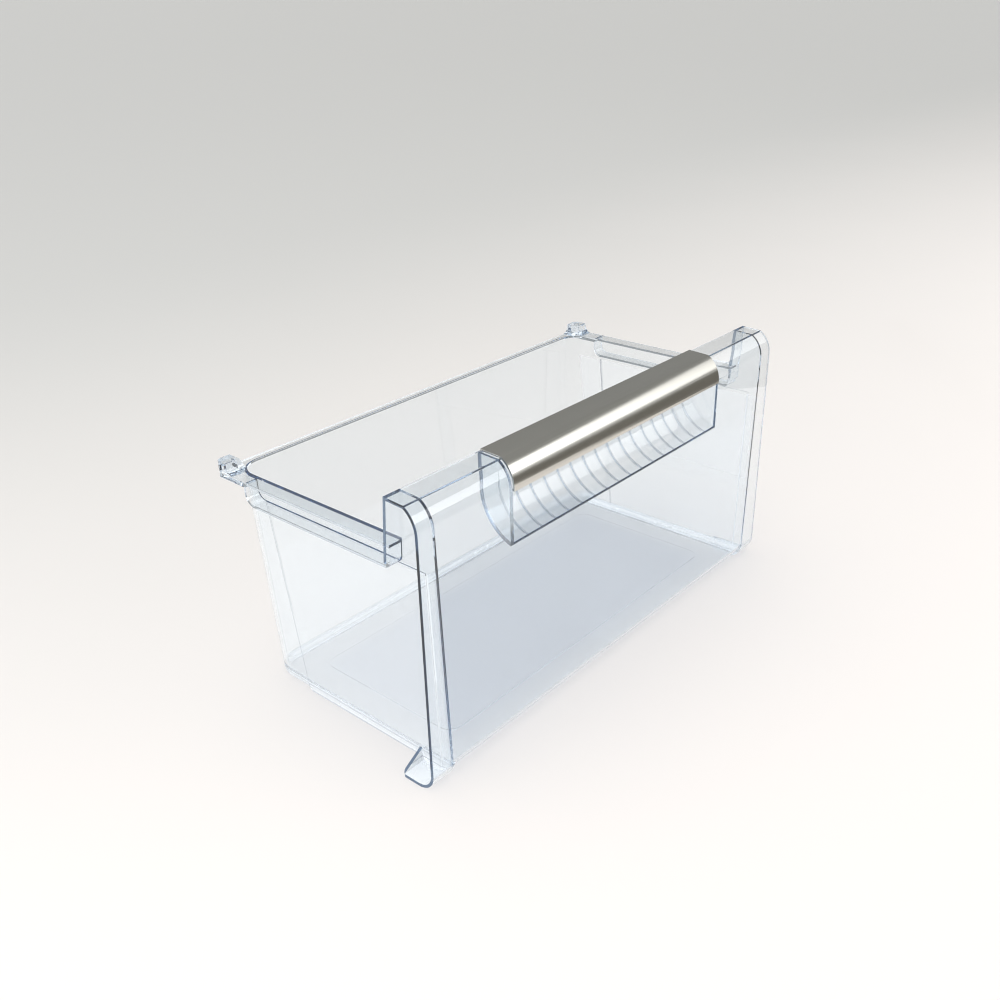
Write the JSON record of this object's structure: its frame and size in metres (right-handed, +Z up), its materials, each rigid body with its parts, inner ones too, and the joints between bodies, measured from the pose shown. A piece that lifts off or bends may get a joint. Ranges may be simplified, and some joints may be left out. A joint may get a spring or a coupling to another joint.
{
  "type": "freezer drawer",
  "caption": "Clear moulded freezer drawer with a rolled front, a ribbed grip pocket under a bright metal trim strip, outward-open side runner channels and rear stop posts.",
  "frame": {"origin": "middle of the overall width and depth, on the plane of the front feet", "axes": "+X to the right seen from the front, +Y from the front panel to the back, +Z up"},
  "size_m": [0.44, 0.214, 0.221],
  "materials": {
    "clear_plastic": "clear gloss, faintly blue",
    "trim_metal": "bright satin"
  },
  "bodies": {
    "root": {"drawer_body": "clear_plastic", "handle_trim": "trim_metal"}
  },
  "joints": []
}
